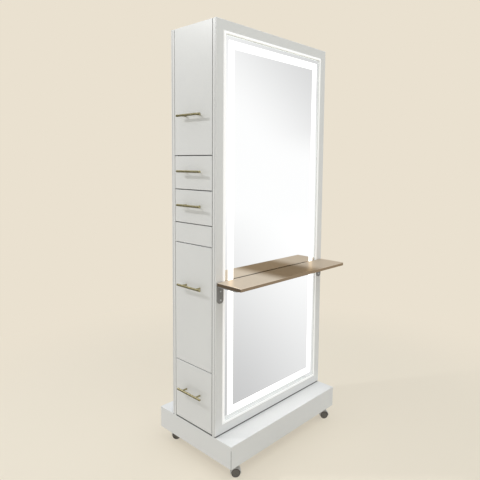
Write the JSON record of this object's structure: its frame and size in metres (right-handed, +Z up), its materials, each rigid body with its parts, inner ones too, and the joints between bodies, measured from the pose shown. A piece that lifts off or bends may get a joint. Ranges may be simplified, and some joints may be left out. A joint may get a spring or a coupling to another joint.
{
  "type": "double sided salon station",
  "caption": "Tall wheeled salon station with a lit full-length mirror on each wide face, a counter shelf on one, and doors and drawers in both narrow ends.",
  "frame": {"origin": "on the floor, under the centre of the bounding box; the cabinet's own centre line is 24 mm behind it, because the counter stands out in front", "axes": "+Z up; X along the wide mirror faces; the mirror with the counter shelf faces -Y; doors and drawers open along -X and +X"},
  "size_m": [0.846, 0.558, 1.993],
  "materials": {
    "white_lacquer": "satin white lacquer on board",
    "inner_board": "matt white melamine on board",
    "mirror_glass": "silvered float glass",
    "light_cover": "opal acrylic, lit",
    "light_strip": "light strip",
    "driver_case": "moulded case",
    "brass_bar": "brushed gold tone",
    "gold_counter": "polished gold anodised",
    "bracket_grey": "satin grey powder coat",
    "steel": "zinc plated",
    "runner_plastic": "moulded nylon",
    "caster_hood": "grey enamel on cast metal",
    "caster_wheel": "dark grey soft tread"
  },
  "bodies": {
    "cabinet": {"plinth_skirt": "white_lacquer", "plinth_deck": "white_lacquer", "plinth_base": "inner_board", "side_panel_front": "white_lacquer", "side_panel_back": "white_lacquer", "top_board": "white_lacquer", "centre_partition": "inner_board", "shelf_boards": "inner_board", "blank_panels": "white_lacquer", "mirror_frame_front": "white_lacquer", "mirror_frame_back": "white_lacquer", "mirror_front": "mirror_glass", "mirror_back": "mirror_glass", "light_diffusers": "light_cover", "led_strips": "light_strip", "led_drivers": "driver_case", "counter_shelf": "gold_counter", "shelf_brackets": "bracket_grey", "bracket_screws": "steel", "runner_rails": "runner_plastic", "hinge_plates": "steel", "caster_plates": "steel"},
    "door_upper_left": {"door_upper_left_panel": "white_lacquer", "door_upper_left_handle": "brass_bar", "door_upper_left_hinge_cups": "steel"},
    "door_lower_left": {"door_lower_left_panel": "white_lacquer", "door_lower_left_handle": "brass_bar", "door_lower_left_hinge_cups": "steel"},
    "drawer_top_left": {"drawer_top_left_front": "white_lacquer", "drawer_top_left_box": "inner_board", "drawer_top_left_handle": "brass_bar"},
    "drawer_middle_left": {"drawer_middle_left_front": "white_lacquer", "drawer_middle_left_box": "inner_board", "drawer_middle_left_handle": "brass_bar"},
    "drawer_bottom_left": {"drawer_bottom_left_front": "white_lacquer", "drawer_bottom_left_box": "inner_board", "drawer_bottom_left_handle": "brass_bar"},
    "door_upper_right": {"door_upper_right_panel": "white_lacquer", "door_upper_right_handle": "brass_bar", "door_upper_right_hinge_cups": "steel"},
    "door_lower_right": {"door_lower_right_panel": "white_lacquer", "door_lower_right_handle": "brass_bar", "door_lower_right_hinge_cups": "steel"},
    "drawer_top_right": {"drawer_top_right_front": "white_lacquer", "drawer_top_right_box": "inner_board", "drawer_top_right_handle": "brass_bar"},
    "drawer_middle_right": {"drawer_middle_right_front": "white_lacquer", "drawer_middle_right_box": "inner_board", "drawer_middle_right_handle": "brass_bar"},
    "drawer_bottom_right": {"drawer_bottom_right_front": "white_lacquer", "drawer_bottom_right_box": "inner_board", "drawer_bottom_right_handle": "brass_bar"},
    "caster_front_left_swivel": {"caster_front_left_hood": "caster_hood"},
    "caster_front_left_roll": {"caster_front_left_wheels": "caster_wheel"},
    "caster_back_left_swivel": {"caster_back_left_hood": "caster_hood"},
    "caster_back_left_roll": {"caster_back_left_wheels": "caster_wheel"},
    "caster_front_right_swivel": {"caster_front_right_hood": "caster_hood"},
    "caster_front_right_roll": {"caster_front_right_wheels": "caster_wheel"},
    "caster_back_right_swivel": {"caster_back_right_hood": "caster_hood"},
    "caster_back_right_roll": {"caster_back_right_wheels": "caster_wheel"}
  },
  "joints": [
    {"name": "door_upper_left_hinge", "type": "hinge", "parent": "cabinet", "child": "door_upper_left", "pos_m": [-0.39, 0.152, 1.711], "axis": [0, 0, -1], "range_deg": [0, 105]},
    {"name": "door_lower_left_hinge", "type": "hinge", "parent": "cabinet", "child": "door_lower_left", "pos_m": [-0.39, 0.152, 0.745], "axis": [0, 0, -1], "range_deg": [0, 105]},
    {"name": "drawer_top_left_slide", "type": "slide", "parent": "cabinet", "child": "drawer_top_left", "axis": [-1, 0, 0], "range_m": [0, 0.24]},
    {"name": "drawer_middle_left_slide", "type": "slide", "parent": "cabinet", "child": "drawer_middle_left", "axis": [-1, 0, 0], "range_m": [0, 0.24]},
    {"name": "drawer_bottom_left_slide", "type": "slide", "parent": "cabinet", "child": "drawer_bottom_left", "axis": [-1, 0, 0], "range_m": [0, 0.24]},
    {"name": "door_upper_right_hinge", "type": "hinge", "parent": "cabinet", "child": "door_upper_right", "pos_m": [0.39, -0.104, 1.711], "axis": [0, 0, -1], "range_deg": [0, 105]},
    {"name": "door_lower_right_hinge", "type": "hinge", "parent": "cabinet", "child": "door_lower_right", "pos_m": [0.39, -0.104, 0.745], "axis": [0, 0, -1], "range_deg": [0, 105]},
    {"name": "drawer_top_right_slide", "type": "slide", "parent": "cabinet", "child": "drawer_top_right", "axis": [1, 0, 0], "range_m": [0, 0.24]},
    {"name": "drawer_middle_right_slide", "type": "slide", "parent": "cabinet", "child": "drawer_middle_right", "axis": [1, 0, 0], "range_m": [0, 0.24]},
    {"name": "drawer_bottom_right_slide", "type": "slide", "parent": "cabinet", "child": "drawer_bottom_right", "axis": [1, 0, 0], "range_m": [0, 0.24]},
    {"name": "caster_front_left_swivel_turn", "type": "hinge", "parent": "cabinet", "child": "caster_front_left_swivel", "pos_m": [-0.341, -0.19, 0.063], "axis": [0, 0, 1], "continuous": true},
    {"name": "caster_front_left_wheel_roll", "type": "hinge", "parent": "caster_front_left_swivel", "child": "caster_front_left_roll", "pos_m": [-0.33027, -0.199, 0.02], "axis": [0.6428, 0.766, 0], "continuous": true},
    {"name": "caster_back_left_swivel_turn", "type": "hinge", "parent": "cabinet", "child": "caster_back_left_swivel", "pos_m": [-0.341, 0.238, 0.063], "axis": [0, 0, 1], "continuous": true},
    {"name": "caster_back_left_wheel_roll", "type": "hinge", "parent": "caster_back_left_swivel", "child": "caster_back_left_roll", "pos_m": [-0.33027, 0.229, 0.02], "axis": [0.6428, 0.766, 0], "continuous": true},
    {"name": "caster_front_right_swivel_turn", "type": "hinge", "parent": "cabinet", "child": "caster_front_right_swivel", "pos_m": [0.341, -0.19, 0.063], "axis": [0, 0, 1], "continuous": true},
    {"name": "caster_front_right_wheel_roll", "type": "hinge", "parent": "caster_front_right_swivel", "child": "caster_front_right_roll", "pos_m": [0.35173, -0.199, 0.02], "axis": [0.6428, 0.766, 0], "continuous": true},
    {"name": "caster_back_right_swivel_turn", "type": "hinge", "parent": "cabinet", "child": "caster_back_right_swivel", "pos_m": [0.341, 0.238, 0.063], "axis": [0, 0, 1], "continuous": true},
    {"name": "caster_back_right_wheel_roll", "type": "hinge", "parent": "caster_back_right_swivel", "child": "caster_back_right_roll", "pos_m": [0.35173, 0.229, 0.02], "axis": [0.6428, 0.766, 0], "continuous": true}
  ]
}
